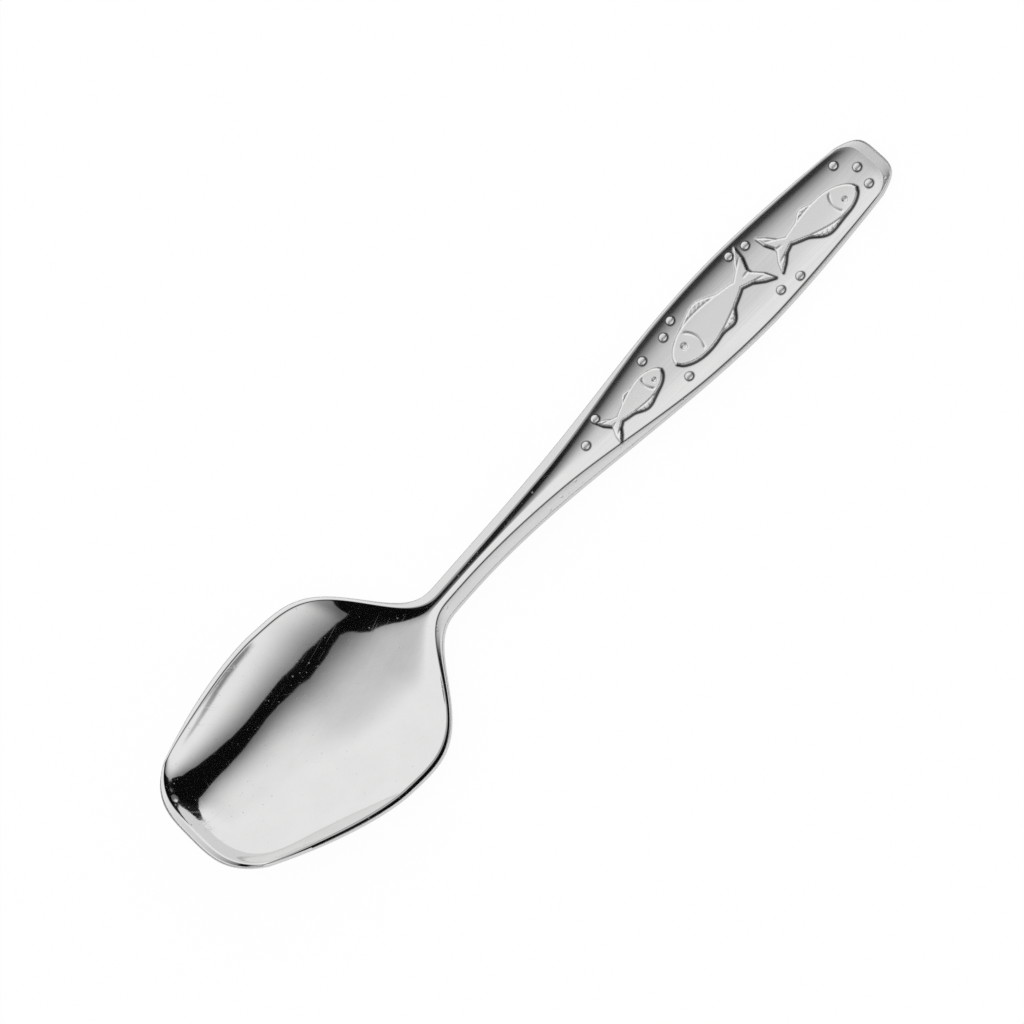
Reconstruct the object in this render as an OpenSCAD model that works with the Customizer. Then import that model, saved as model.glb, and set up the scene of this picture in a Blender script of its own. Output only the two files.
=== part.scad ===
// Child's spoon in one piece of metal: a broad hollowed bowl with a blunt tip, a narrow
// neck, and a dished handle with bevelled edges and a low relief of fish and bubbles.
// X runs along the spoon from the bowl to the handle's end and Z is up. The spoon lies as
// it rests on a table, on the underside of its bowl and the back of the handle's end.
// Distances along the spoon start at the tip of the bowl, and those named from_end start
// at the handle's end.

/* [Outline] */
// Length from the tip of the bowl to the end of the handle
spoon_l = 150; // [145:1:156]
// Widest part of the bowl
bowl_w = 37.3; // [35:0.2:39.6]
// Distance of the widest part of the bowl
bowl_w_at = 28; // [26:0.5:30]
// Width between the corners of the blunt tip
tip_w = 24.3; // [22.3:0.2:26.3]
// How far the corners of the tip lie behind its middle
tip_round = 5.4; // [4.5:0.1:6.3]
// Width of the neck
neck_w = 5.4; // [4.8:0.1:6.4]
// Distance of the narrowest part of the neck
neck_at = 55; // [53:0.5:58]
// Widest part of the handle
handle_w = 14.8; // [13.6:0.2:16]
// Distance of the handle's widest part from the handle's end
handle_w_from_end = 30; // [26:0.5:34]
// Width between the corners of the handle's end
end_w = 11.1; // [10.2:0.1:12]
// How far the corners of the handle's end lie behind its middle
end_round = 4.4; // [3.6:0.1:5.2]

/* [Upper edge seen from the side] */
// Height of the bowl's edge at the tip
tip_z = 12.3; // [11.7:0.1:12.9]
// Height of the edge at the sides of the bowl
side_z = 6.25; // [5.95:0.05:6.6]
// Distance of that place
side_at = 24; // [22:0.5:26]
// Height of the edge at the shoulders, where it dips to the neck
dip_z = 3.7; // [3.55:0.05:3.9]
// Distance of that place
dip_at = 46; // [44.5:0.5:47.5]
// Height of the edge along the neck, which rises again towards the handle
neck_z = 5.2; // [5:0.05:5.4]
// Distance of that place
neck_z_at = 62; // [60:0.5:64]
// Height of the edge where the neck has become the handle
waist_z = 4.6; // [4.4:0.05:4.8]
// Distance of that place
waist_at = 84; // [80:0.5:88]
// Height of the handle's edge at its end
end_z = 2; // [1.9:0.05:2.25]

/* [Underside seen from the side] */
// Height of the underside behind the tip
toe_z = 4.7; // [4.4:0.1:5]
// Distance of that place
toe_at = 10; // [9:0.5:11]
// Distance of the point on which the bowl rests
bowl_rest_at = 29; // [27:0.5:31]
// Height of the underside where the bowl runs into the neck
root_z = 0.8; // [0.7:0.05:0.95]
// Distance of that place
root_at = 44; // [42:0.5:46]
// Height of the underside at the neck
neck_under_z = 2.1; // [1.9:0.05:2.25]
// Height of the underside at the waist
waist_under_z = 2.2; // [2:0.05:2.35]
// Distance from the handle's end of the line on which the handle rests
rest_from_end = 5; // [4:0.5:7]

/* [Metal and edges] */
// Thickness of the metal at the bottom of the bowl
bowl_t = 1.2; // [1:0.05:1.5]
// Height of the bowl's outer edge
bowl_edge_t = 0.8; // [0.6:0.05:1]
// Height of the neck's outer edges
neck_edge_t = 1.1; // [0.95:0.05:1.3]
// Height of the handle's outer edge
handle_edge_t = 0.9; // [0.75:0.05:1.1]
// Width of the flat land around the bowl's hollow
bowl_land = 0.65; // [0.5:0.05:0.85]
// Width of the bevels along the neck
neck_bevel = 1.45; // [1.25:0.05:1.6]
// Width of the bevels along the widest part of the handle
handle_bevel = 0.45; // [0.4:0.05:0.7]
// Width of the bevel across the handle's end
end_bevel = 1.6; // [1.2:0.1:2]
// Depth of the neck's dished front below its two ridges
neck_dish_d = 0.2; // [0.15:0.05:0.3]
// Depth of the handle's dished front below its two ridges
dish_d = 0.4; // [0.35:0.05:0.5]

/* [Relief] */
// How far the motifs stand above the ground
relief_h = 0.32; // [0.2:0.02:0.4]
// Length of the largest fish
fish_l = 20; // [18:0.5:21]
// Height of the largest fish across its tail
fish_h = 8.4; // [7.4:0.2:9]
// Diameter of the largest fish's eye
eye_d = 1; // [0.8:0.1:1.2]
// Diameter of a bubble
bubble_d = 1.3; // [1:0.1:1.5]

/* [Hidden] */
handle_w_at = spoon_l - handle_w_from_end;

// Powers that shape the curves of the outline
tip_power = 3.4;
side_power = 1.6;
shoulder_turn = 3.8;
shoulder_fall = 4.85;
handle_swell = 1.14;
handle_taper = 1.55;
end_power = 4.6;

// Powers that shape the cross-sections: 2 is round, more is flatter
hollow_power = 3;
neck_power = 1.4;
dish_power = 4.5;
under_power = 3;
back_power = 3.4;

// Slopes of the upper edge and of the underside at their stations
tip_slope = -0.22;
side_slope = -0.23;
dip_slope = 0.025;
neck_slope = 0.04;
waist_slope = -0.07;
end_slope = -0.03;
tip_under_slope = -1.25;
toe_slope = -0.4;
root_slope = 0.13;
neck_under_slope = 0.06;
waist_under_slope = -0.05;
lip_slope = 0.15;

// Drop from a ridge to the outer edge of its land or bevel
bowl_drop = 0.12;
neck_drop = 0.6;
handle_drop = 0.2;
end_drop = 0.45;

// Where the bowl's edge turns into the neck's and the neck's into the handle's, and over
// what lengths
neck_from = bowl_w_at + 7;
neck_lead = 14;
handle_from = neck_at + 23;
handle_lead = 30;
end_lead = 3;

// Lengths over which the rounding of the two ends and the depth of the hollows fade in
tip_bow_l = 16;
end_bow_l = 14;
hollow_lead = 1.2;
dish_lead = 1.5;
hollow_to = neck_at - 2;
hollow_from = bowl_w_at + 8;

// How far the middle of the outer edge stands out beyond its two corners
edge_bulge = 0.12;

// Each row of the surface crosses the spoon, and there are more of them where it turns
cells_across = 20;
tip_rows_l = 4;
tip_rows_to = 16;
neck_rows_l = 4.5;
end_rows_l = 16;
spans = [
    [0, bowl_land, 1],
    [bowl_land, tip_rows_l, 4],
    [tip_rows_l, tip_rows_to, 8],
    [tip_rows_to, bowl_rest_at, 6],
    [bowl_rest_at, hollow_from, 4],
    [hollow_from, neck_at - neck_rows_l, 12],
    [neck_at - neck_rows_l, neck_at + neck_rows_l, 4],
    [neck_at + neck_rows_l, spoon_l - end_rows_l, 20],
    [spoon_l - end_rows_l, spoon_l - rest_from_end, 4],
    [spoon_l - rest_from_end, spoon_l - end_bevel, 3],
    [spoon_l - end_bevel, spoon_l, 1]
];
row_at = concat([0], [for (s = spans, k = [1:s[2]]) s[0] + (s[1] - s[0]) * k / s[2]]);
last_row = len(row_at) - 1;
last_col = cells_across + 2;

// Smooth curve through stations [distance, height, slope]
function hermite(u, a, b, w) =
    (2 * u^3 - 3 * u^2 + 1) * a[1] + (u^3 - 2 * u^2 + u) * w * a[2]
    + (3 * u^2 - 2 * u^3) * b[1] + (u^3 - u^2) * w * b[2];
function curve(stations, t, i = 0) =
    let (a = stations[i], b = stations[i + 1])
    i == len(stations) - 2 || t <= b[0]
        ? hermite((t - a[0]) / (b[0] - a[0]), a, b, b[0] - a[0])
        : curve(stations, t, i + 1);
function part_of(v) = min(1, max(0, v));
function ease(v) = let (u = part_of(v)) u * u * (3 - 2 * u);

// Half the width of the spoon at distance t
function bowl_half(t) =
    bowl_w / 2 - (bowl_w - tip_w) / 2 * ((bowl_w_at - t) / (bowl_w_at - tip_round))^side_power;
function shoulder_half(t) =
    neck_w / 2 + (bowl_w - neck_w) / 2
    * (1 - ((t - bowl_w_at) / (neck_at - bowl_w_at))^shoulder_turn)^shoulder_fall;
function swell_half(t) =
    neck_w / 2 + (handle_w - neck_w) / 2
    * sin(90 * ((t - neck_at) / (handle_w_at - neck_at))^handle_swell)^2;
function taper_half(t) =
    handle_w / 2 - (handle_w - end_w) / 2
    * ((t - handle_w_at) / (handle_w_from_end - end_round))^handle_taper;
function half_w(t) =
    t < bowl_w_at ? bowl_half(t)
    : t < neck_at ? shoulder_half(t)
    : t < handle_w_at ? swell_half(t)
    : taper_half(t);

// A measure of the edge that changes from the bowl to the neck, the handle and the end
function by_place(t, bowl, neck, handle, end) =
    bowl + (neck - bowl) * ease((t - neck_from) / neck_lead)
    + (handle - neck) * ease((t - handle_from) / handle_lead)
    + (end - handle) * ease((t - spoon_l + end_lead) / end_lead);
function land(t) = by_place(t, bowl_land, neck_bevel, handle_bevel, handle_bevel);
function drop(t) = by_place(t, bowl_drop, neck_drop, handle_drop, end_drop);
function edge_t(t) = by_place(t, bowl_edge_t, neck_edge_t, handle_edge_t, handle_edge_t);

// Heights of the ridge, of the two corners of the outer edge, and of the underside's middle
upper_stations = [
    [0, tip_z, tip_slope],
    [side_at, side_z, side_slope],
    [dip_at, dip_z, dip_slope],
    [neck_z_at, neck_z, neck_slope],
    [waist_at, waist_z, waist_slope],
    [spoon_l, end_z, end_slope]
];
function ridge_z(t) = curve(upper_stations, t);
function edge_top(t) = ridge_z(t) - drop(t);
function edge_bottom(t) = edge_top(t) - edge_t(t);
under_stations = [
    [0, edge_bottom(0), tip_under_slope],
    [toe_at, toe_z, toe_slope],
    [bowl_rest_at, 0, 0],
    [root_at, root_z, root_slope],
    [neck_at, neck_under_z, neck_under_slope],
    [waist_at, waist_under_z, waist_under_slope],
    [spoon_l - rest_from_end, 0, 0],
    [spoon_l, edge_bottom(spoon_l), lip_slope]
];
function keel_z(t) = curve(under_stations, t);

// Depths of the hollowed front below its ridges and of the underside below its edges, in
// the row that crosses the spoon's middle at c
function bowl_part(c) = 1 - ease((c - hollow_from) / (hollow_to - hollow_from));
function bowl_depth(c) =
    max(0, ridge_z(c) - keel_z(c) - bowl_t) * (1 - exp(-max(0, c - bowl_land) / hollow_lead));
function handle_part(c) = ease((c - handle_from) / handle_lead);
function dish_depth(c) =
    (neck_dish_d + (dish_d - neck_dish_d) * handle_part(c))
    * (1 - exp(-max(0, spoon_l - end_bevel - c) / dish_lead));
function front_depth(c) =
    min(bowl_depth(c), dish_depth(c) + bowl_part(c) * max(0, bowl_depth(c) - dish_depth(c)));
function under_depth(c) = edge_bottom(c) - keel_z(c);
function front_power(c) =
    neck_power + (hollow_power - neck_power) * bowl_part(c) + (dish_power - neck_power) * handle_part(c);
function back_shape(c) = back_power + (under_power - back_power) * bowl_part(c);

// A row bows towards the nearer end of the spoon, so that the first and the last row are
// the two ends of the outline with their rounded corners
function near_tip(c) = c < bowl_w_at;
function bow(c) = near_tip(c)
    ? tip_round * part_of(1 - c / tip_bow_l)^2
    : -end_round * part_of(1 - (spoon_l - c) / end_bow_l)^2;
function bow_power(c) = near_tip(c) ? tip_power : end_power;

// A column's share of the front, from -1 on one ridge to 1 on the other, and its place as
// a part of the half width at the row's corner
function share(j) = 2 * part_of((j - 1) / cells_across) - 1;
function across(i, j) =
    let (corner = row_at[i] + bow(row_at[i]))
    j == 0 ? -1 : j == last_col ? 1 : share(j) * (1 - land(corner) / half_w(corner));

// Grid point in row i and column j seen from above, the outermost ones moved in by inset
function plan(i, j, inset) =
    let (
        c = row_at[i],
        q = across(i, j),
        end_inset = i == 0 ? inset : i == last_row ? -inset : 0,
        side_inset = j == 0 ? inset : j == last_col ? -inset : 0
    )
    [c + bow(c) * abs(q)^bow_power(c) + end_inset, q * half_w(c + bow(c)) + side_inset];
function is_edge(i, j) = i == 0 || i == last_row || j == 0 || j == last_col;
function raised(p, z) = [p[0], p[1], z];
function top_point(i, j) =
    let (p = plan(i, j, edge_bulge), c = row_at[i])
    raised(p, is_edge(i, j)
        ? edge_top(p[0])
        : ridge_z(p[0]) - front_depth(c) * (1 - abs(share(j))^front_power(c)));
function under_point(i, j) =
    let (p = plan(i, j, edge_bulge), c = row_at[i])
    raised(p, is_edge(i, j)
        ? edge_bottom(p[0])
        : edge_bottom(p[0]) - under_depth(c) * (1 - abs(across(i, j))^back_shape(c)));
function belt_point(i, j) =
    let (p = plan(i, j, 0)) raised(p, (edge_top(p[0]) + edge_bottom(p[0])) / 2);

// The outermost grid points in order around the outline
rim = concat(
    [for (i = [0:last_row - 1]) [i, 0]],
    [for (j = [0:last_col - 1]) [last_row, j]],
    [for (i = [last_row:-1:1]) [i, last_col]],
    [for (j = [last_col:-1:1]) [0, j]]
);
rim_n = len(rim);
grid_n = (last_row + 1) * (last_col + 1);
function top_at(i, j) = i * (last_col + 1) + j;
function under_at(i, j) = grid_n + top_at(i, j);
function belt_at(k) = 2 * grid_n + k % rim_n;

// Two triangles for a cell, with the diagonals mirrored about the spoon's middle
function cell(a, b, c, d, flip) = flip ? [[a, b, c], [a, c, d]] : [[a, b, d], [b, c, d]];
function left_side(j) = j < last_col / 2;
function top_cell(i, j) =
    cell(top_at(i, j), top_at(i, j + 1), top_at(i + 1, j + 1), top_at(i + 1, j), left_side(j));
function under_cell(i, j) =
    cell(under_at(i, j), under_at(i + 1, j), under_at(i + 1, j + 1), under_at(i, j + 1), left_side(j));
function upper_band(k, r, s) =
    cell(top_at(r[0], r[1]), top_at(s[0], s[1]), belt_at(k + 1), belt_at(k), true);
function lower_band(k, r, s) =
    cell(belt_at(k), belt_at(k + 1), under_at(s[0], s[1]), under_at(r[0], r[1]), true);

module body() {
    points = concat(
        [for (i = [0:last_row], j = [0:last_col]) top_point(i, j)],
        [for (i = [0:last_row], j = [0:last_col]) under_point(i, j)],
        [for (r = rim) belt_point(r[0], r[1])]
    );
    faces = concat(
        [for (i = [0:last_row - 1], j = [0:last_col - 1], f = top_cell(i, j)) f],
        [for (i = [0:last_row - 1], j = [0:last_col - 1], f = under_cell(i, j)) f],
        [for (k = [0:rim_n - 1], f = upper_band(k, rim[k], rim[(k + 1) % rim_n])) f],
        [for (k = [0:rim_n - 1], f = lower_band(k, rim[k], rim[(k + 1) % rim_n])) f]
    );
    translate([-spoon_l / 2, 0, 0]) polyhedron(points, faces);
}

// One side of a fish's outline from the nose at 0 to the notch of its tail, in parts of
// its length and height, with one fin that rises and falls between two places
fish_steps = 12;
tail_from = 0.78;
tail_root = 0.09;
body_half = 0.37;
tail_points = [[0.86, 0.19], [0.93, 0.37], [1, 0.5], [0.975, 0.26], [0.92, 0.04]];
back_fin = [0.2, 0.82, 0.14];
belly_fin = [0.46, 0.82, 0.12];
function fin(u, f) = u <= f[0] || u >= f[1] ? 0 : f[2] * sin(180 * ((u - f[0]) / (f[1] - f[0]))^1.5)^1.8;
function body_side(u) = body_half * sin(180 * u^0.72)^0.85 * (1 - 0.2 * u) + tail_root * u^2;
function fish_side(f) = concat(
    [for (k = [0:fish_steps]) let (u = k / fish_steps) [tail_from * u, body_side(u) + fin(u, f)]],
    tail_points
);
function placed(points, l, h) = [for (p = points) [(p[0] - 0.5) * l, p[1] * h]];
function backwards(points) = [for (k = [len(points) - 1:-1:1]) points[k]];

module fish_outline(l, h) {
    upper = placed(fish_side(back_fin), l, h);
    lower = placed(fish_side(belly_fin), l, -h);
    polygon(concat(upper, backwards(lower)));
}

// Eye and gill are cut into the flat side of the fish
engrave_d = 0.15;
gill_at = 0.27;
gill_part = 0.42;
gill_shift = 0.28;
module fish_face(l, h, d) {
    translate([-0.35 * l, 0.08 * h, 0]) cylinder(h = relief_h, d = d, $fn = 20);
    translate([(gill_at - 0.5) * l - gill_part * h, 0, 0]) intersection() {
        difference() {
            cylinder(h = relief_h, d = 2 * gill_part * h, $fn = 32);
            translate([-gill_shift, 0, -engrave_d]) cylinder(h = 2 * relief_h, d = 2 * gill_part * h, $fn = 32);
        }
        translate([0, -0.26 * h, 0]) cube([h, 0.52 * h, relief_h]);
    }
}

// The relief lies on the dish's ground between the waist and the handle's end. A motif's
// place is its part of the way along that stretch and its part of the way from the dish's
// middle to a ridge, and it leans as the ground does
foot_d = 0.4;
lean_span = 2;
function along(part) = waist_at + part * (spoon_l - waist_at);
function dish_half(t) = half_w(t) - land(t);
function ground_z(t, part) = ridge_z(t) - dish_depth(t) * (1 - abs(part)^front_power(t));
function lean(t) = atan((ridge_z(t - lean_span / 2) - ridge_z(t + lean_span / 2)) / lean_span);
module on_ground(t, y, z, turn) {
    translate([t - spoon_l / 2, y, z - foot_d]) rotate([0, lean(t), 0]) rotate([0, 0, turn]) children();
}

// Fishes: [part of the way along, part of the way across, turn, size]
fishes = [
    [0.18, -0.04, 186, 0.64],
    [0.46, 0.06, 7, 1],
    [0.775, -0.07, 172, 0.86]
];
module fish(t, part_across, turn, size) {
    l = fish_l * size;
    h = fish_h * size;
    on_ground(t, part_across * dish_half(t), ground_z(t, 0), turn) difference() {
        linear_extrude(foot_d + relief_h) fish_outline(l, h);
        translate([0, 0, foot_d + relief_h - engrave_d]) fish_face(l, h, eye_d * size);
    }
}

// Bubbles: [part of the way along, part of the way across]
bubbles = [
    [0.025, 0.1], [0.085, 0.64], [0.26, 0.64], [0.31, -0.61], [0.335, 0.62], [0.375, 0.77],
    [0.58, 0.8], [0.605, -0.67], [0.625, 0.72], [0.66, -0.79],
    [0.905, 0.68], [0.93, -0.53], [0.94, 0.12]
];
bubble_draft = 0.15;
bubble_part = 0.8;
module bubble(t, part_across) {
    on_ground(t, part_across * dish_half(t), ground_z(t, part_across), 0) cylinder(
        h = foot_d + bubble_part * relief_h,
        d1 = bubble_d + bubble_draft,
        d2 = bubble_d - bubble_draft,
        $fn = 16
    );
}

module relief() {
    for (f = fishes) fish(along(f[0]), f[1], f[2], f[3]);
    for (b = bubbles) bubble(along(b[0]), b[1]);
}

module spoon() {
    color("silver") union() {
        body();
        relief();
    }
}

spoon();
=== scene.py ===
"""Dresses the child's spoon: one piece of polished metal with a brushed ground around the struck
fish and bubbles of its handle, with dark patina round them and painted shadow on their side
away from the light. Sizes are in millimetres up to the point where a mesh is made, and the
spoon lies along X as it rests on the table."""
import math
import bpy
import numpy as np
from mathutils import Matrix, Vector


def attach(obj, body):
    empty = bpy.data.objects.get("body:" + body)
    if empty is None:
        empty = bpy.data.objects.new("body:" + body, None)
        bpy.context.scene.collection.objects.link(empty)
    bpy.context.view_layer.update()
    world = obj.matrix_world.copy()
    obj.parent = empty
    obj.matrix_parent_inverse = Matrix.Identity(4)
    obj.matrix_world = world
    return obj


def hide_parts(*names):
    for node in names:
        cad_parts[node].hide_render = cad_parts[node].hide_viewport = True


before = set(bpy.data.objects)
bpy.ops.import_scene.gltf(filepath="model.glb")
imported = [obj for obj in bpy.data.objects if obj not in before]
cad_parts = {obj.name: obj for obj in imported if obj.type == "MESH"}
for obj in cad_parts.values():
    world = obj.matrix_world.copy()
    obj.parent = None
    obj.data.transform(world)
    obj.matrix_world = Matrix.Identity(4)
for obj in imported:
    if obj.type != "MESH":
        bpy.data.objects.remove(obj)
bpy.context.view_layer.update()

MM = 0.001

# Sizes of the spoon's form

spoon_l = 150.0
bowl_w, bowl_w_at = 37.3, 28.0
tip_w, tip_round = 24.3, 5.4
neck_w, neck_at = 5.4, 55.0
handle_w, handle_w_at = 14.8, 120.0
end_w, end_round = 11.1, 4.4
tip_power, side_power, end_power = 3.4, 1.6, 4.6
shoulder_turn, shoulder_fall = 3.8, 4.85
handle_swell, handle_taper = 1.14, 1.55

bowl_t = 1.2
bowl_land, neck_bevel, handle_bevel = 0.9, 1.7, 0.5
tip_land, end_bevel = 1.2, 1.8
neck_dish_rise, dish_rise = 0.2, 0.26
hollow_power = 3.0
under_power, back_power = 3.0, 3.4
waist_at, rest_from_end = 84.0, 5.0
neck_from, neck_lead = bowl_w_at + 11, 14.0
handle_from, handle_lead = neck_at + 23, 30.0
end_lead = 3.0
hollow_from, hollow_to = bowl_w_at + 8, neck_at - 2
hollow_lead, dish_lead = 1.2, 2.2
bow_l = 20.0

# Rounding of the two ridges and of the outer edges
ridge_round, neck_ridge_round = 0.2, 0.3
edge_round = 0.13
# How far in from the edge the underside's slope is taken
slope_reach = 0.4
# Lowest place of the bowl's underside, where the spoon rests
rest_at = 29.0

# Relief
relief_h, relief_flank = 0.32, 0.3
fish_l, fish_h, eye_d, bubble_d = 20.0, 8.4, 1.0, 1.3
bubble_h = 0.3


def curve(stations, t):
    """Smooth curve through stations of distance, height and slope."""
    t = np.asarray(t, float)
    s = np.array(stations)
    i = np.clip(np.searchsorted(s[:, 0], t, side="left") - 1, 0, len(s) - 2)
    a, b = s[i], s[i + 1]
    w = b[..., 0] - a[..., 0]
    u = (t - a[..., 0]) / w
    return ((2 * u**3 - 3 * u**2 + 1) * a[..., 1] + (u**3 - 2 * u**2 + u) * w * a[..., 2]
            + (3 * u**2 - 2 * u**3) * b[..., 1] + (u**3 - u**2) * w * b[..., 2])


def ease(v):
    u = np.clip(v, 0, 1)
    return u * u * (3 - 2 * u)


def half_w(t):
    """Half the spoon's width at distance t from the tip of the bowl."""
    t = np.asarray(t, float)
    bowl = bowl_w / 2 - (bowl_w - tip_w) / 2 * (
        np.clip(bowl_w_at - t, 0, None) / (bowl_w_at - tip_round)) ** side_power
    u = np.clip((t - bowl_w_at) / (neck_at - bowl_w_at), 0, 1)
    shoulder = neck_w / 2 + (bowl_w - neck_w) / 2 * (1 - u**shoulder_turn) ** shoulder_fall
    v = np.clip((t - neck_at) / (handle_w_at - neck_at), 0, 1)
    swell = neck_w / 2 + (handle_w - neck_w) / 2 * np.sin(np.pi / 2 * v**handle_swell) ** 2
    taper = handle_w / 2 - (handle_w - end_w) / 2 * (
        np.clip(t - handle_w_at, 0, None) / (spoon_l - handle_w_at - end_round)) ** handle_taper
    return np.where(t < bowl_w_at, bowl, np.where(t < neck_at, shoulder,
                    np.where(t < handle_w_at, swell, taper)))


def by_place(t, bowl, neck, handle, end):
    """A measure that changes from the bowl to the neck, the handle and the handle's end."""
    return (bowl + (neck - bowl) * ease((t - neck_from) / neck_lead)
            + (handle - neck) * ease((t - handle_from) / handle_lead)
            + (end - handle) * ease((t - spoon_l + end_lead) / end_lead))


def land(t):
    return by_place(t, bowl_land, neck_bevel, handle_bevel, handle_bevel)


def drop(t):
    return by_place(t, 0.18, 0.87, 0.22, 0.34)


def edge_t(t):
    return by_place(t, 0.8, 0.83, 0.9, 0.9)


upper_line = [[0, 12.3, -0.22], [24, 6.25, -0.23], [46, 3.7, 0.025], [62, 5.2, 0.04],
              [waist_at, 4.6, -0.07], [spoon_l, 2.0, -0.03]]


def eased(stations, t):
    """The curve without sudden changes of bend: averaged over a few millimetres."""
    t = np.asarray(t, float)
    reach = 4.0 * np.clip(np.minimum(t, spoon_l - t) / 12, 0, 1)
    shares = np.linspace(-1, 1, 9)
    weights = np.exp(-2 * shares**2)
    return sum(w * curve(stations, t + reach * k) for k, w in zip(shares, weights / weights.sum()))


def ridge_z(t):
    return eased(upper_line, t)


def edge_bottom(t):
    return ridge_z(t) - drop(t) - edge_t(t)


under_line = [[0, float(edge_bottom(0.0)), -1.25], [10, 4.7, -0.4], [rest_at, 0, 0],
              [44, 0.8, 0.13], [neck_at, 2.1, 0.06], [waist_at, 2.2, -0.05],
              [spoon_l - rest_from_end, 0, 0], [spoon_l, float(edge_bottom(spoon_l)), 0.15]]


def keel_z(t):
    return eased(under_line, t)


def bowl_part(c):
    u = np.clip((c - hollow_from) / (hollow_to - hollow_from), 0, 1)
    return 1 - u**3 * (10 - 15 * u + 6 * u * u)


def front_depth(c):
    """Depth of the hollowed front below its ridges."""
    bowl = np.clip(ridge_z(c) - keel_z(c) - bowl_t, 0, None) * (
        1 - np.exp(-np.clip(c - tip_land, 0, None) / hollow_lead))
    across = half_w(c) - land(c)
    rise = neck_dish_rise + (dish_rise - neck_dish_rise) * ease((c - neck_at) / 20)
    dish = rise * across / dish_power(across) * (
        1 - np.exp(-np.clip(spoon_l - end_bevel - c, 0, None) / dish_lead))
    return np.minimum(bowl, dish + bowl_part(c) * np.clip(bowl - dish, 0, None))


def dish_power(across):
    """How flat the dish's floor is: the wider the dish, the flatter."""
    return 0.85 + 0.47 * np.clip(across, 1, None)


def front_power(c):
    dish = dish_power(half_w(c) - land(c))
    return dish + (hollow_power - dish) * bowl_part(c)


def bow(c):
    """How far a row bows at its corners, so that the first and last rows are the two ends."""
    tip = tip_round * np.cos(np.pi / 2 * np.clip(c / bow_l, 0, 1)) ** 2
    end = -end_round * np.cos(np.pi / 2 * np.clip((spoon_l - c) / bow_l, 0, 1)) ** 2
    return np.where(c < bowl_w_at, tip, end)


def plan(c, q):
    power = np.where(c < bowl_w_at, tip_power, end_power)
    return c + bow(c) * np.abs(q) ** power, q * half_w(c + bow(c))


def smooth_min(a, b, k):
    h = np.clip(k - np.abs(a - b), 0, None) / k
    return np.minimum(a, b) - h * h * k / 4


def front_z(c, q):
    """Height of the front: the hollow and the bevels meet in a ridge that is rounded."""
    corner = c + bow(c)
    x, _ = plan(c, q)
    hw, l = half_w(corner), land(corner)
    share = np.abs(q) / (1 - l / hw)
    depth = front_depth(c)
    power = front_power(c)
    hollow = (ridge_z(x) - depth * (1 - np.minimum(share, 1) ** power)
              + np.clip(share - 1, 0, None) * power * np.maximum(depth, 0.15)
              + np.clip(tip_land - c, 0, None) * 0.9
              + np.clip(c - spoon_l + end_bevel, 0, None) * 0.1)
    side = 1 - (1 - np.abs(q)) * hw / l
    tip = 1 - c / tip_land
    end = 1 - (spoon_l - c) / end_bevel
    ends = np.maximum(np.maximum(tip, end), 0)
    both = (np.clip(side, 0, None) ** 3 + ends**3) ** (1 / 3)
    bevel = ridge_z(x) - drop(corner) * np.where(ends > 0, both, side)
    flank = power * depth / (hw - l) + drop(corner) / l
    rounding = ridge_round + (neck_ridge_round - ridge_round) * ease((c - neck_from) / neck_lead)
    return smooth_min(hollow, bevel, np.clip(rounding * flank, 0.03, 0.42))


def back_z(c, q):
    x, _ = plan(c, q)
    power = back_power + (under_power - back_power) * bowl_part(c)
    return edge_bottom(x) - (edge_bottom(c) - keel_z(c)) * (1 - np.abs(q) ** power)


# The struck relief

# Fishes: part of the way along, part of the way across, turn, size
fishes = [
    [0.18, -0.04, 186, 0.64],
    [0.46, 0.06, 7, 1],
    [0.775, -0.07, 172, 0.86],
]
# Bubbles: part of the way along, part of the way across
bubbles = [
    [0.025, 0.1], [0.085, 0.64], [0.26, 0.64], [0.31, -0.61], [0.335, 0.62], [0.375, 0.77],
    [0.58, 0.8], [0.605, -0.67], [0.625, 0.72], [0.66, -0.79],
    [0.905, 0.68], [0.93, -0.53], [0.94, 0.12],
]
fish_steps = 40
tail_from, tail_root, body_half = 0.78, 0.09, 0.37
tail_points = [[0.86, 0.19], [0.93, 0.37], [1, 0.5], [0.975, 0.26], [0.92, 0.04]]
back_fin, belly_fin = [0.2, 0.82, 0.14], [0.46, 0.82, 0.12]


def along(part):
    return waist_at + part * (spoon_l - waist_at)


def placed(part_along, part_across):
    t = along(part_along)
    return t - spoon_l / 2, part_across * (half_w(t) - land(t))


def fish_side(fin, l, h):
    u = np.linspace(0, 1, fish_steps)
    rise = np.clip((u - fin[0]) / (fin[1] - fin[0]), 0, 1)
    side = (body_half * np.sin(np.pi * u**0.72) ** 0.85 * (1 - 0.2 * u) + tail_root * u**2
            + fin[2] * np.clip(np.sin(np.pi * rise**1.5), 0, None) ** 1.8)
    points = np.concatenate([np.stack([tail_from * u, side], -1), tail_points])
    return (points - [0.5, 0]) * [l, h]


def fish_outline(l, h):
    back, belly = fish_side(back_fin, l, h), fish_side(belly_fin, l, -h)
    return np.concatenate([back, belly[:0:-1]])


def inside_by(points, ring):
    """Distance of points to a closed ring of points, positive inside it."""
    a, b = ring, np.roll(ring, -1, axis=0)
    near = np.full(len(points), 1e9)
    crossings = np.zeros(len(points), int)
    for p, q in zip(a, b):
        d = q - p
        u = np.clip(((points - p) @ d) / max(d @ d, 1e-12), 0, 1)
        near = np.minimum(near, np.linalg.norm(points - p - u[:, None] * d, axis=1))
        spans = (p[1] > points[:, 1]) != (q[1] > points[:, 1])
        cut = p[0] + (points[:, 1] - p[1]) * d[0] / (d[1] if abs(d[1]) > 1e-12 else 1e-12)
        crossings += spans & (points[:, 0] < cut)
    return np.where(crossings % 2 == 1, near, -near)


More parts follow.
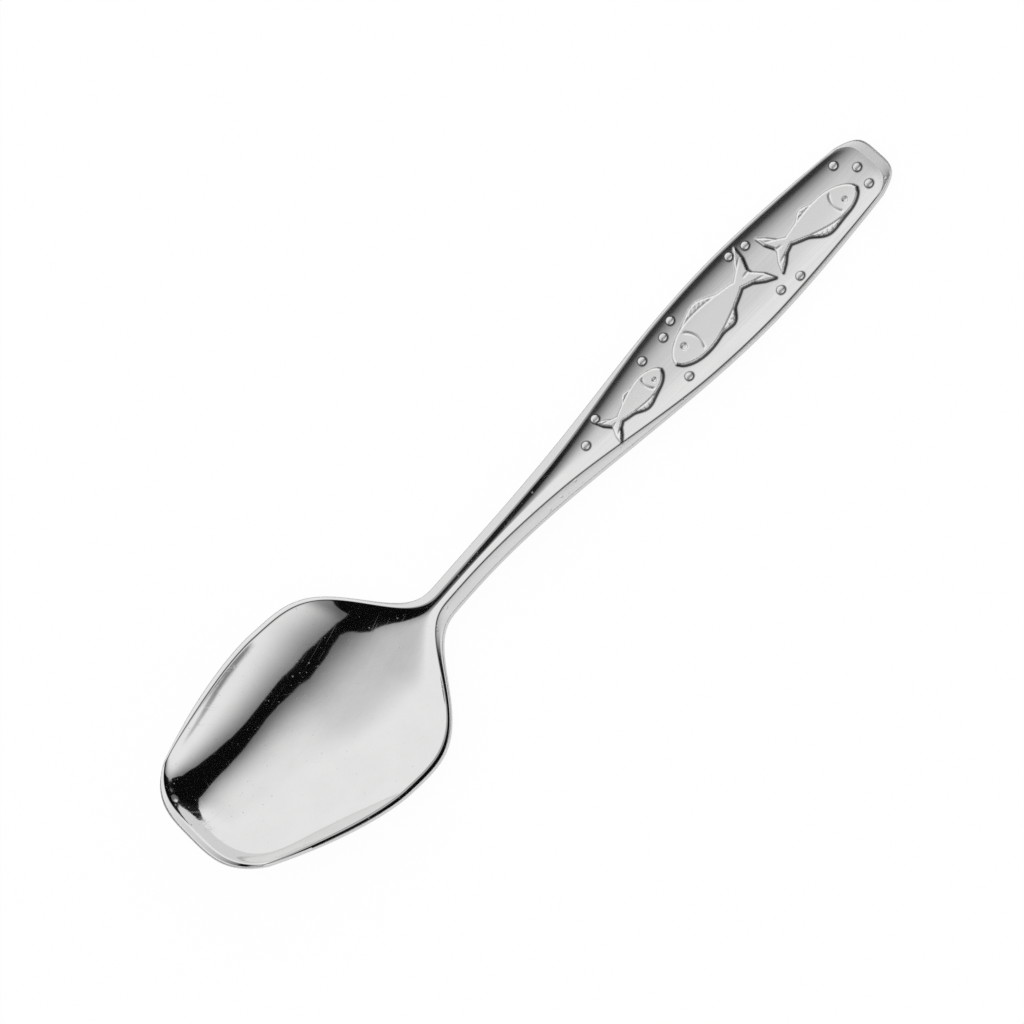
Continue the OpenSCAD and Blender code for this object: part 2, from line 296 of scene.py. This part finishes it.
def relief(x, y):
    """Height of the fish above the ground, where they stand, and how dark the ground is round them
    and the bubbles: dark patina all round and in the fish's grooves, with painted shadow added
    on the side away from the light."""
    rise = np.zeros(x.shape)
    top = np.zeros(x.shape)
    foot = np.zeros(x.shape)
    for part_along, part_across, turn, size in fishes:
        l, h = fish_l * size, fish_h * size
        cx, cy = placed(part_along, part_across)
        near = (np.abs(x - cx) < l * 0.6) & (np.abs(y - cy) < l * 0.5)
        c, s = math.cos(math.radians(turn)), math.sin(math.radians(turn))
        dx, dy = x[near] - cx, y[near] - cy
        px, py = c * dx + s * dy, -s * dx + c * dy
        ring = fish_outline(l, h)
        inside = inside_by(np.stack([px, py], -1), ring)
        body = ease((inside + relief_flank / 2) / relief_flank)
        eye = np.hypot(px + 0.35 * l, py - 0.08 * h)
        eye_r = eye_d * size / 2
        gill = np.hypot(px - (0.27 - 0.5) * l + 0.42 * h, py) - 0.42 * h
        gill_line = np.exp(-(gill / 0.13) ** 2) * ease((0.27 * h - np.abs(py)) / 0.3)
        u = np.clip((px / l + 0.5) / tail_from, 0, 1)
        flesh = h * (body_half * np.sin(np.pi * u**0.72) ** 0.85 * (1 - 0.2 * u) + tail_root * u**2)
        rays = np.zeros(px.shape)
        for fin, upright in ((back_fin, 1), (belly_fin, -1)):
            reach = (u - fin[0]) / (fin[1] - fin[0])
            stands = ease(reach * 6) * ease((1 - reach) * 6)
            beyond = upright * py - flesh
            rays += np.exp(-(beyond / 0.1) ** 2) * stands
            strands = np.exp(-((((px - beyond * 0.6) / 0.85) % 1 - 0.5) * 0.85 / 0.1) ** 2)
            rays += 0.8 * strands * stands * ease((beyond - 0.15) / 0.2)
        for side in (-0.17, 0, 0.17):
            reach = (px / l - 0.34) / 0.14
            lane = py / h - side * (1 + 0.9 * np.clip(reach, 0, 1))
            rays += np.exp(-(lane * h / 0.11) ** 2) * ease(reach * 3) * ease((1 - reach) * 2)
        cut = 0.17 * ease((eye_r + 0.09 - eye) / 0.2) + 0.14 * gill_line + 0.09 * rays
        rise[near] = np.maximum(rise[near], (relief_h - np.where(inside > 0, cut, 0)) * body)
        top[near] = np.maximum(top[near], body)
        marks = np.maximum(np.exp(-((eye - eye_r) / 0.12) ** 2), gill_line)
        # Painted shadow: shaded is high on the side of the fish away from the light
        sx, sy = dx - 0.1, dy + 0.2
        further = inside_by(np.stack([c * sx + s * sy, -s * sx + c * sy], -1), ring)
        shaded = ease(0.5 + (further - inside) / 0.4)
        # Patina round the fish and in their eye, gill and fin grooves; on the side away from the light
        # it is widened and darkened into painted shadow, with a soft painted shadow cast beyond
        edge = (np.exp(-((inside + 0.14) / (0.13 + 0.1 * shaded)) ** 2) * (0.55 + 0.45 * shaded)
                + 0.34 * shaded * np.exp(-(np.clip(-inside, 0, None) / 0.7) ** 2) * (inside < 0)
                + np.where(inside > 0, 0.55 * marks + 0.4 * rays, 0))
        foot[near] = np.maximum(foot[near], np.clip(edge, 0, 1))
    for part_along, part_across in bubbles:
        cx, cy = placed(part_along, part_across)
        away = np.hypot(x - cx, y - cy) - bubble_d / 2
        # Patina round each bubble, widened and darkened into painted shadow on the side away from the
        # light
        shaded = ease(0.5 - (y - cy - 0.4 * (x - cx)) / bubble_d)
        ring_w = 0.13 + 0.14 * shaded
        foot = np.maximum(foot, (0.75 + 0.25 * shaded) * np.exp(-((away - 0.05) / ring_w) ** 2))
    return rise, top, foot


# The spoon's mesh

def row_places():
    fine = 0.14
    tip = [0, 0.45, 0.6, 0.74, 0.84, 0.9, 0.97, 1.07, 1.2, 1.4, 1.7, 2.1, 2.6, 3.2]
    end = [spoon_l - end_bevel + d for d in (-0.22, -0.12, -0.05, 0, 0.05, 0.12, 0.22, 0.6)]
    bowl = np.arange(3.7, waist_at - 1, 0.5)
    handle = np.arange(waist_at - 1, end[0] - fine / 2, fine)
    return np.concatenate([tip, bowl, handle, end, [spoon_l - 0.45, spoon_l]])


def column_places(c):
    """Places across for each row: edge, bevel, ridge and hollow, from one side to the other."""
    corner = c + bow(c)
    hw, l = half_w(corner), land(corner)
    beside = [-0.22, -0.12, -0.05, 0, 0.05, 0.12, 0.22, 0.4, 0.65]
    outer = [np.full(len(c), edge_round), np.full(len(c), edge_round + 0.06),
             (edge_round + l + beside[0]) / 2] + [l + d for d in beside]
    outer = np.stack([1 - d / hw for d in outer], -1)
    across = np.linspace(1, -1, 79)[1:-1]
    middle = outer[:, -1:] * across
    q = np.concatenate([outer, middle, -outer[:, ::-1]], -1)
    return -q


def rim_cells(rows, cols):
    """Row and column of the outermost grid points in order around the outline."""
    return ([(i, 0) for i in range(rows - 1)] + [(rows - 1, j) for j in range(cols - 1)]
            + [(i, cols - 1) for i in range(rows - 1, 0, -1)]
            + [(0, j) for j in range(cols - 1, 0, -1)])


def spoon_mesh():
    c = row_places()
    q = column_places(c)
    rows, cols = q.shape
    cc = np.repeat(c[:, None], cols, axis=1)
    x, y = plan(cc, q)
    z = front_z(cc, q)
    top = np.stack([x - spoon_l / 2, y, z], -1)

    # The outline, its outward direction and the rounded edge that follows it
    rim = rim_cells(rows, cols)
    ri, rj = np.array(rim).T
    full_q = np.where(rj == 0, -1.0, np.where(rj == cols - 1, 1.0, q[ri, rj] / np.abs(q[ri, 0])))
    ox, oy = plan(c[ri], full_q)
    outline = np.stack([ox - spoon_l / 2, oy], -1)
    tangent = np.roll(outline, -1, axis=0) - np.roll(outline, 1, axis=0)
    out = np.stack([tangent[:, 1], -tangent[:, 0]], -1)
    out /= np.linalg.norm(out, axis=1, keepdims=True)
    if (out * outline).sum() < 0:
        out = -out
    rim_corner = c[ri] + bow(c[ri])
    rim_drop = drop(rim_corner)
    rim_land = np.where(ri == 0, tip_land, np.where(ri == rows - 1, end_bevel, land(rim_corner)))
    upper = ridge_z(ox) - rim_drop * (1 - edge_round / rim_land)
    lower = edge_bottom(ox)
    start = np.arctan(rim_drop / rim_land)
    radius = edge_round / (1 - np.sin(start))
    # The slope at which the underside leaves the edge
    in_c = c[ri] + np.where(ri == 0, slope_reach, np.where(ri == rows - 1, -slope_reach, 0))
    in_q = full_q * np.where((rj == 0) | (rj == cols - 1), 1 - slope_reach / half_w(rim_corner), 1)
    under = np.arctan(np.clip((lower - back_z(in_c, in_q)) / slope_reach, 0, 1.5))

    rise, figure, foot = relief(top[..., 0], top[..., 1])
    ground = ease((cc - waist_at + 6) / 14) * ease((spoon_l - end_bevel - cc) / 0.6)
    corner = cc + bow(cc)
    share = np.abs(q) / (1 - land(corner) / half_w(corner))
    ground = ground * ease((1.0 - share) / 0.06)
    top[..., 2] += rise * ease((1.03 - share) / 0.12)
    bevel = np.maximum(ease((share - 1.0) / 0.02) * ease((cc - neck_from) / neck_lead),
                       2.0 * ease((cc - spoon_l + end_bevel + 1.5) / 2))
    from_ridge = (1 - share) * (half_w(corner) - land(corner))
    # A painted reflection: a dark line along the ridges of the front, faded out before the handle's end
    seam = np.exp(-((from_ridge - 0.02) / 0.11) ** 2) * ease((spoon_l - end_bevel - cc) / 2)

    def ring(inset, height):
        p = outline - out * np.reshape(inset, (-1, 1))
        return np.concatenate([p, height[:, None]], -1)

    rings = []
    for part in (0, 1 / 3, 2 / 3, 1):
        turn = start + (math.pi / 2 - start) * part
        rings.append(ring(radius * (1 - np.sin(turn)), upper - radius * (np.cos(start) - np.cos(turn))))
    for part in (0, 1 / 3, 2 / 3, 1):
        turn = math.pi / 2 - (math.pi / 2 - under) * part
        rings.append(ring(edge_round * (1 - np.sin(turn)),
                          lower + edge_round * ((1 - np.sin(under)) / np.cos(under) - np.cos(turn))))
    top[ri, rj] = rings[0]

    # The underside is coarser, and its outer cells take in the points of the rounded edge
    rests = [int(np.abs(c - place).argmin()) for place in (rest_at, spoon_l - rest_from_end)]
    back_rows = sorted(set([0, rows - 1] + list(range(0, rows, 5)) + rests))
    back_rows = [i for i in back_rows if i == rows - 1 or rows - 1 - i > 2]
    back_cols = sorted(set([0, cols - 1, cols // 2] + list(range(0, cols // 2, 4))
                           + [cols - 1 - j for j in range(0, cols // 2, 4)]))

    points = list(map(tuple, top.reshape(-1, 3)))
    front_n = len(points)
    rim_n = len(rim)
    for r in rings[1:]:
        points += list(map(tuple, r))

    def ring_at(k, n):
        """Point n of ring k; the first ring is the front's own outermost points."""
        n %= rim_n
        return ri[n] * cols + rj[n] if k == 0 else front_n + (k - 1) * rim_n + n

    faces = []
    for i in range(rows - 1):
        base = i * cols
        for j in range(cols - 1):
            faces.append((base + j, base + cols + j, base + cols + j + 1, base + j + 1))
    for k in range(len(rings) - 1):
        for n in range(rim_n):
            faces.append((ring_at(k, n), ring_at(k, n + 1), ring_at(k + 1, n + 1), ring_at(k + 1, n)))
    last = len(rings) - 1
    rim_index = {cell: n for n, cell in enumerate(rim)}
    back_at = {}
    for i in back_rows[1:-1]:
        for j in back_cols[1:-1]:
            bx, by = plan(c[i], q[i, j])
            back_at[(i, j)] = len(points)
            points.append((float(bx) - spoon_l / 2, float(by), float(back_z(c[i], q[i, j]))))

    def corner_at(i, j):
        return back_at[(i, j)] if (i, j) in back_at else ring_at(last, rim_index[(i, j)])

    for a, b in zip(back_rows[:-1], back_rows[1:]):
        for l, r in zip(back_cols[:-1], back_cols[1:]):
            loop = []
            left = range(a, b) if l == 0 else [a]
            loop += [corner_at(i, l) for i in left]
            bottom = range(l, r) if b == rows - 1 else [l]
            loop += [corner_at(b, j) for j in bottom]
            right = range(b, a, -1) if r == cols - 1 else [b]
            loop += [corner_at(i, r) for i in right]
            head = range(r, l, -1) if a == 0 else [r]
            loop += [corner_at(a, j) for j in head]
            faces.append(tuple(loop[::-1]))

    mesh = bpy.data.meshes.new("spoon_form")
    mesh.from_pydata([tuple(v * MM for v in p) for p in points], [], faces)
    # What each place of the front is, for its metal
    edge = np.zeros(top.shape[:2])
    edge[ri, rj] = 1
    for name, values in (("figure", figure), ("foot", foot), ("ground", ground), ("bevel", bevel),
                         ("seam", seam), ("edge", edge)):
        layer = mesh.attributes.new(name, "FLOAT", "POINT")
        full = np.zeros(len(points), np.float32)
        full[:front_n] = values.reshape(-1)
        if name == "edge":
            # All of the outer edge but its last two rings, which turn into the underside
            full[front_n:front_n + (len(rings) - 3) * rim_n] = 1
        layer.data.foreach_set("value", full)
    mesh.polygons.foreach_set("use_smooth", np.ones(len(mesh.polygons), bool))
    mesh.update()
    mesh.validate()
    return mesh


# Materials

class Value:
    """A number in a node tree; an expression on values adds its Math nodes."""
    def __init__(self, tree, socket):
        self.tree, self.socket = tree, socket

    def _math(self, operation, *others, swap=False):
        args = [self] + list(others)
        if swap:
            args = args[::-1]
        node = self.tree.node("ShaderNodeMath", {"operation": operation}, dict(enumerate(args)))
        return node["Value"]

    def __add__(self, other):
        return self._math("ADD", other)

    def __radd__(self, other):
        return self._math("ADD", other, swap=True)

    def __sub__(self, other):
        return self._math("SUBTRACT", other)

    def __rsub__(self, other):
        return self._math("SUBTRACT", other, swap=True)

    def __mul__(self, other):
        return self._math("MULTIPLY", other)

    def __rmul__(self, other):
        return self._math("MULTIPLY", other, swap=True)

    def __truediv__(self, other):
        return self._math("DIVIDE", other)

    def __rtruediv__(self, other):
        return self._math("DIVIDE", other, swap=True)

    def above(self, other):
        return self._math("GREATER_THAN", other)

    def larger(self, other):
        return self._math("MAXIMUM", other)

    def smaller(self, other):
        return self._math("MINIMUM", other)

    def turned_from(self, other):
        return self._math("ARCTAN2", other)

    def arcsine(self):
        return self._math("ARCSINE")

    def size(self):
        return self._math("ABSOLUTE")



class Result:
    """A node's outputs by name, each as a value."""
    def __init__(self, tree, node):
        self.tree, self.it = tree, node

    def __getitem__(self, name):
        return Value(self.tree, self.it.outputs[name])


class Tree:
    def __init__(self, node_tree):
        self.tree = node_tree
        self.tree.nodes.clear()

    def node(self, kind, settings=None, sockets=None):
        """Adds a node: its settings first, then the values or links of its sockets."""
        node = self.tree.nodes.new(kind)
        for name, value in (settings or {}).items():
            if name == "stops":
                ramp = node.color_ramp
                while len(ramp.elements) < len(value):
                    ramp.elements.new(0.5)
                for element, (place, shade) in zip(ramp.elements, value):
                    element.position, element.color = place, (*shade, 1) if len(shade) == 3 else shade
            elif name == "interpolation" and hasattr(node, "color_ramp"):
                node.color_ramp.interpolation = value
            else:
                setattr(node, name, value)
        for name, value in (sockets or {}).items():
            socket = node.inputs[name]
            if isinstance(value, Value):
                self.tree.links.new(value.socket, socket)
            else:
                socket.default_value = value
        return Result(self, node)

    def smooth(self, value, low, high, to_low=0.0, to_high=1.0):
        """Runs smoothly from one number to another while a value goes from low to high."""
        return self.node("ShaderNodeMapRange", {"interpolation_type": "SMOOTHSTEP"},
                         {"Value": value, "From Min": low, "From Max": high,
                          "To Min": to_low, "To Max": to_high})["Result"]

    def mix_colours(self, part, first, second):
        node = self.node("ShaderNodeMix", {"data_type": "RGBA"})
        for index, value in ((0, part), (6, first), (7, second)):
            socket = node.it.inputs[index]
            if isinstance(value, Value):
                self.tree.links.new(value.socket, socket)
            else:
                socket.default_value = value
        return Value(self, node.it.outputs[2])

    def mix_shaders(self, part, first, second):
        return self.node("ShaderNodeMixShader", {}, {0: part, 1: first, 2: second})["Shader"]

    def surface(self, shader):
        self.node("ShaderNodeOutputMaterial", {}, {"Surface": shader})


def grey(level):
    return (level, level, level * 0.995, 1)


def noise(tree, place, scale, detail=2.0, rough=0.5):
    return tree.node("ShaderNodeTexNoise", {"noise_dimensions": "3D"},
                     {"Vector": place, "Scale": scale, "Detail": detail, "Roughness": rough})["Fac"]


def stretched(tree, place, turn, scale):
    """Coordinates turned about Z and stretched, for marks that run one way."""
    return tree.node("ShaderNodeMapping", {"vector_type": "TEXTURE"},
                     {"Vector": place, "Rotation": (0, 0, math.radians(turn)),
                      "Scale": scale})["Vector"]


def fine_scratches(tree, place):
    """Thin scratches that run several ways, as a strength from 0 to 1."""
    total = None
    for turn, length, width, keep in ((14, 12.0, 0.1, 0.71), (-36, 10.0, 0.1, 0.72),
                                      (68, 8.0, 0.09, 0.73)):
        lines = noise(tree, stretched(tree, place, turn, (length, width, 4.0)), 1.0, 1.0)
        mark = tree.smooth(lines, keep, keep + 0.05)
        total = mark if total is None else total.larger(mark)
    return total


def specks(tree, place):
    """Sparse tiny dents and dust marks, as a strength from 0 to 1."""
    total = None
    for scale, size, keep in ((0.6, 0.13, 0.66), (1.1, 0.14, 0.72), (2.3, 0.17, 0.86)):
        cells = tree.node("ShaderNodeTexVoronoi", {"feature": "F1"}, {"Vector": place, "Scale": scale})
        chance = tree.node("ShaderNodeSeparateColor", {}, {"Color": cells["Color"]})["Red"]
        mark = tree.smooth(cells["Distance"], size, size * 0.5) * chance.above(keep)
        total = mark if total is None else total.larger(mark)
    return total


def spoon_metal(name, with_places):
    """Polished metal with fine wear; around the struck figures it is brushed, with dark patina
    where they meet the ground and painted shadow on their side away from the light.

    With places, the mesh says where its figures, their patina and painted shadow, the brushed
    ground, the bevels, the painted dark line along the ridges that stands in for a reflection,
    and the outer edge are. Without, it is the metal of the bubbles."""
    material = bpy.data.materials.new(name)
    material.use_nodes = True
    tree = Tree(material.node_tree)
    metres = tree.node("ShaderNodeTexCoord")["Object"]
    place = tree.node("ShaderNodeVectorMath", {"operation": "SCALE"},
                      {"Vector": metres, "Scale": 1 / MM})["Vector"]

    scratch = fine_scratches(tree, place)
    dust = specks(tree, place)
    cloud = noise(tree, place, 0.22, 3.0)
    if with_places:
        part = {n: tree.node("ShaderNodeAttribute", {"attribute_name": n})["Fac"]
                for n in ("figure", "foot", "ground", "bevel", "seam", "edge")}
        brushed = part["ground"] * (1 - part["figure"])
        figure, foot, bevel, edge = part["figure"], part["foot"], part["bevel"], part["edge"]
        polished = (1 - part["ground"]) * (1 - part["figure"]) * (1 - edge)
        x = tree.node("ShaderNodeSeparateXYZ", {}, {"Vector": place})["X"]
        softer = tree.smooth(x, neck_at - 8 - spoon_l / 2, neck_at - spoon_l / 2)
    else:
        brushed, foot, bevel, polished, edge, softer = 0.0, 0.0, 0.0, 0.1, 0.0, 0.0
        figure = 1.6

    brush_lines = noise(tree, stretched(tree, place, 0, (22.0, 0.16, 4.0)), 1.0, 3.0, 0.6)
    grain = noise(tree, place, 5.0, 3.0, 0.6)
    nicks = tree.smooth(noise(tree, place, 0.9, 2.0), 0.66, 0.76)

    shade = tree.mix_colours(tree.smooth(cloud, 0.35, 0.65), grey(0.85), grey(0.87))
    if with_places:
        lines = brushed * tree.smooth(brush_lines, 0.38, 0.66)
        shade = tree.mix_colours(lines * 0.35, shade, grey(0.7))
        shade = tree.mix_colours(figure * 0.9, shade, grey(0.97))
        # Dark patina round the figures and bubbles, with painted shadow on their side away from the
        # light
        shade = tree.mix_colours(tree.smooth(foot, 0.1, 0.9) * 0.94, shade, grey(0.07))
        # Painted reflection: a dark line along the ridges
        shade = tree.mix_colours(part["seam"] * 0.8, shade, grey(0.12))
        shade = tree.mix_colours(bevel.smaller(1.0) * 0.7, shade, grey(0.77))
        shade = tree.mix_colours(scratch * polished * 0.12, shade, grey(0.7))
        shade = tree.mix_colours(dust * polished * 0.35, shade, grey(0.66))
    roughness = (0.05 + 0.012 * cloud + polished * (scratch * 0.06 + dust * 0.22)
                 + brushed * (0.03 + 0.04 * brush_lines) + figure * (0.18 + 0.06 * grain)
                 + bevel * 0.12 + foot * 0.15 + edge * 0.22 + softer * 0.05)

    worn = bevel * (1 - edge)
    # Heights in millimetres
    height = (brush_lines * brushed * 0.0014 + grain * figure * 0.003
              + (scratch * -0.0008 + dust * -0.002 + cloud * 0.012) * polished
              + (nicks * -0.02 + grain * 0.004) * worn)
    bump = tree.node("ShaderNodeBump", {},
                     {"Strength": 1.0, "Distance": MM, "Height": height})["Normal"]
    shader = tree.node("ShaderNodeBsdfPrincipled", {}, {
        "Base Color": shade, "Metallic": 1.0, "Roughness": roughness, "Normal": bump})["BSDF"]
    tree.surface(shader)
    return material


# Bubbles of the relief

def bubble_tree(material):
    """A geometry tree that sets a low dome on every point it is given."""
    group = bpy.data.node_groups.new("bubbles", "GeometryNodeTree")
    face = group.interface
    face.new_socket("Points", in_out="INPUT", socket_type="NodeSocketGeometry")
    for label in ("Diameter", "Height"):
        face.new_socket(label, in_out="INPUT", socket_type="NodeSocketFloat")
    face.new_socket("Domes", in_out="OUTPUT", socket_type="NodeSocketGeometry")
    tree = Tree(group)
    given = tree.node("NodeGroupInput")
    ball = tree.node("GeometryNodeMeshUVSphere", {},
                     {"Segments": 28, "Rings": 14, "Radius": 0.5})["Mesh"]
    size = tree.node("ShaderNodeCombineXYZ", {}, {"X": given["Diameter"], "Y": given["Diameter"],
                                                 "Z": given["Height"] * 2.0})["Vector"]
    domes = tree.node("GeometryNodeInstanceOnPoints", {},
                      {"Points": given["Points"], "Instance": ball, "Scale": size})
    whole = tree.node("GeometryNodeRealizeInstances", {}, {"Geometry": domes["Instances"]})["Geometry"]
    shaded = tree.node("GeometryNodeSetShadeSmooth", {}, {"Geometry": whole})["Geometry"]
    done = tree.node("GeometryNodeSetMaterial", {},
                     {"Geometry": shaded, "Material": material})["Geometry"]
    tree.node("NodeGroupOutput", {}, {"Domes": done})
    return group


def make_bubbles(material):
    points = []
    for part_along, part_across in bubbles:
        t = along(part_along)
        x, y = placed(part_along, part_across)
        points.append((x * MM, float(y) * MM, float(front_z(t, y / half_w(t))) * MM))
    seeds = bpy.data.meshes.new("bubble_places")
    seeds.from_pydata(points, [], [])
    holder = bpy.data.objects.new("bubble_places", seeds)
    bpy.context.collection.objects.link(holder)
    group = bubble_tree(material)
    modifier = holder.modifiers.new("bubbles", "NODES")
    modifier.node_group = group
    sizes = {"Diameter": bubble_d * MM, "Height": bubble_h * MM}
    for item in group.interface.items_tree:
        if item.in_out == "INPUT" and item.name in sizes:
            modifier[item.identifier] = sizes[item.name]
    bpy.context.view_layer.update()
    seen = holder.evaluated_get(bpy.context.evaluated_depsgraph_get())
    mesh = bpy.data.meshes.new_from_object(seen)
    bpy.data.objects.remove(holder)
    mesh.name = "bubbles"
    piece = bpy.data.objects.new("bubbles", mesh)
    bpy.context.collection.objects.link(piece)
    return piece


# Floor, light and camera

def make_floor():
    """A plain white floor that keeps the spoon's soft shadow and is clear from below.

    The spoon mirrors it a little darker, so that its edges and underside stand out."""
    reach, below = 1.5, 0.02 * MM
    mesh = bpy.data.meshes.new("floor")
    mesh.from_pydata([(-reach, -reach, -below), (reach, -reach, -below), (reach, reach, -below),
                      (-reach, reach, -below)], [], [(0, 1, 2, 3)])
    floor = bpy.data.objects.new("floor", mesh)
    bpy.context.collection.objects.link(floor)
    material = bpy.data.materials.new("white floor")
    material.use_nodes = True
    tree = Tree(material.node_tree)
    plain = tree.node("ShaderNodeBsdfDiffuse", {}, {"Color": (0.96, 0.96, 0.96, 1)})["BSDF"]
    bright = tree.node("ShaderNodeEmission", {}, {"Color": (1, 1, 1, 1), "Strength": 1.0})["Emission"]
    dimmer = tree.node("ShaderNodeEmission", {}, {"Color": (1, 1, 1, 1), "Strength": 0.7})["Emission"]
    clear = tree.node("ShaderNodeBsdfTransparent", {}, {"Color": (1, 1, 1, 1)})["BSDF"]
    rays = tree.node("ShaderNodeLightPath")
    seen = rays["Is Camera Ray"].larger(rays["Is Glossy Ray"])
    below = tree.node("ShaderNodeNewGeometry")["Backfacing"]
    lit = tree.mix_shaders(rays["Is Glossy Ray"], bright, dimmer)
    front = tree.mix_shaders(seen * 0.95, plain, lit)
    tree.surface(tree.mix_shaders(below, front, clear))
    mesh.materials.append(material)
    return floor


# The dark slot overhead, through which the spoon is looked at: degrees towards the handle,
# then the degrees towards +Y and towards -Y at which the slot's two edges lie
slot = [
    (-90, 0, 45), (-60, 0, 45), (-52, 4, 34), (-48, 8, 28), (-44, 10, 24), (-40, 12, 19),
    (-36, 13, 12), (-33.5, 15, 4.5), (-28, 18, 2.5), (-25, 17.5, 2), (-21.5, 13, 2),
    (-19, 9.5, 2), (-16, 7.2, 1.8), (-12, 5.5, 1.2), (-8, 6.5, 1.5), (-4, 7.7, 1.8),
    (0, 7.4, 4.5), (4, 4.7, 6.7), (8, 4, 8.7), (12, 3, 10), (18, 1.6, 10.8), (26, 1.6, 11.4),
    (32, 3.9, 11.4), (36, 7.4, 12), (40, 10.5, 16.3), (48, 15, 23.5), (60, 24.5, 32),
    (64, 34, 41), (67.5, 50, 49), (70, 98, 56), (80, 98, 56), (86, 20, 12),
]
slot_reach = 200.0
# The same edges without their waves, from which the tent brightens
soft_edge = [
    (-90, 4, 34), (-60, 2, 30), (-36, 11, 10), (-24, 11, 4), (-16, 8, 2), (-8, 7.6, 1.6),
    (0, 6.4, 3.5), (8, 4.6, 7.5), (20, 2.5, 10.5), (32, 4, 11.5), (44, 9.5, 20), (60, 21, 37),
    (70, 40, 50), (90, 80, 52),
]
# The white tent brightens away from the slot, on its +Y side and its -Y side: the degrees
# between which it does, then how bright it is before and after them
tent_back = (-3.0, 24.0, 0.13, 0.89)
tent_front = (-8.0, 35.0, 0.15, 0.88)
slot_dark = 0.985
strip_at, strip_turn, strip_dark = 35.5, 0.67, 0.72


def ramp(tree, place, stops, interpolation="LINEAR"):
    return tree.node("ShaderNodeValToRGB", {"interpolation": interpolation, "stops": stops},
                     {"Fac": place})["Color"]


def make_tent():
    """A soft white tent with a dark slot overhead through which the spoon is looked at."""
    world = bpy.data.worlds.new("light tent")
    world.use_nodes = True
    bpy.context.scene.world = world
    tree = Tree(world.node_tree)
    way = tree.node("ShaderNodeSeparateXYZ", {}, {
        "Vector": tree.node("ShaderNodeTexCoord")["Generated"]})
    degrees = 180 / math.pi
    across = (way["Y"] * -1.0).turned_from(way["Z"]) * degrees
    along_way = way["X"].arcsine() * degrees
    place = along_way / 180 + 0.5

    def edges(stops, how):
        back, front = [
            ramp(tree, place, [(a / 180 + 0.5, (e[side] / slot_reach + 0.5,) * 3)
                               for a, *e in stops], how) for side in (0, 1)]
        return (back - 0.5) * -slot_reach, (front - 0.5) * slot_reach

    back_edge, front_edge = edges(soft_edge, "B_SPLINE")
    front = tree.smooth(across - front_edge, *tent_front)
    # Less light comes from beyond the tip on the -Y side
    front = front * tree.smooth(along_way, -34.0, -14.0, 0.5, 1.0)
    light = tree.smooth(back_edge - across, *tent_back).larger(front)
    # A darker strip lies lower down on that side, towards the handle
    strip = tree.smooth((across - along_way * strip_turn - strip_at).size(), 4.5, 0.5)
    strip = strip * tree.smooth(along_way, 14.0, 22.0) * tree.smooth(along_way, 42.0, 34.0)
    light = light * (1 - strip_dark * strip)
    back_edge, front_edge = edges(slot, "LINEAR")
    in_slot = tree.smooth(across - back_edge, -0.4, 0.4) * tree.smooth(front_edge - across, -0.4, 0.4)
    light = light * (1 - in_slot * slot_dark)
    rays = tree.node("ShaderNodeLightPath")
    mirrored, plain = [
        tree.node("ShaderNodeBackground", {}, {"Color": colour, "Strength": 1.0})["Background"]
        for colour in (light, (1, 1, 1, 1))]
    both = tree.mix_shaders(rays["Is Glossy Ray"], plain, mirrored)
    tree.node("ShaderNodeOutputWorld", {}, {"Surface": both})


def make_camera():
    """The camera looks steeply down from the spoon's -Y side, turned as the photograph is."""
    around, tilt, roll = math.radians(-90.84), math.radians(21.0), math.radians(-45.521)
    away, shift_x, shift_y, scale = 900.0, 34.267, -8.558, 6.436
    east, north = math.cos(around), math.sin(around)
    back = Vector((math.sin(tilt) * east, math.sin(tilt) * north, math.cos(tilt)))
    level_up = Vector((-east * math.cos(tilt), -north * math.cos(tilt), math.sin(tilt)))
    level_right = (-back).cross(level_up)
    right = math.cos(roll) * level_right + math.sin(roll) * level_up
    up = -math.sin(roll) * level_right + math.cos(roll) * level_up
    aim = -shift_x / scale * right + shift_y / scale * up
    spot = (aim + back * away) * MM
    data = bpy.data.cameras.new("camera")
    data.sensor_width = 36.0
    data.lens = 36.0 * away * scale / 1024
    data.clip_start, data.clip_end = 0.01, 10.0
    camera = bpy.data.objects.new("camera", data)
    camera.matrix_world = Matrix((
        (right.x, up.x, back.x, spot.x), (right.y, up.y, back.y, spot.y),
        (right.z, up.z, back.z, spot.z), (0, 0, 0, 1)))
    bpy.context.collection.objects.link(camera)
    bpy.context.scene.camera = camera


# Putting it together

make_camera()
make_tent()
floor = make_floor()

spoon = bpy.data.objects.new("spoon_metalwork", spoon_mesh())
bpy.context.collection.objects.link(spoon)
spoon.data.materials.append(spoon_metal("polished and brushed metal", True))
domes = make_bubbles(spoon_metal("struck bubble metal", False))

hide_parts("spoon")
for piece in (spoon, domes):
    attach(piece, "root")

bpy.context.scene.view_settings.view_transform = "Standard"
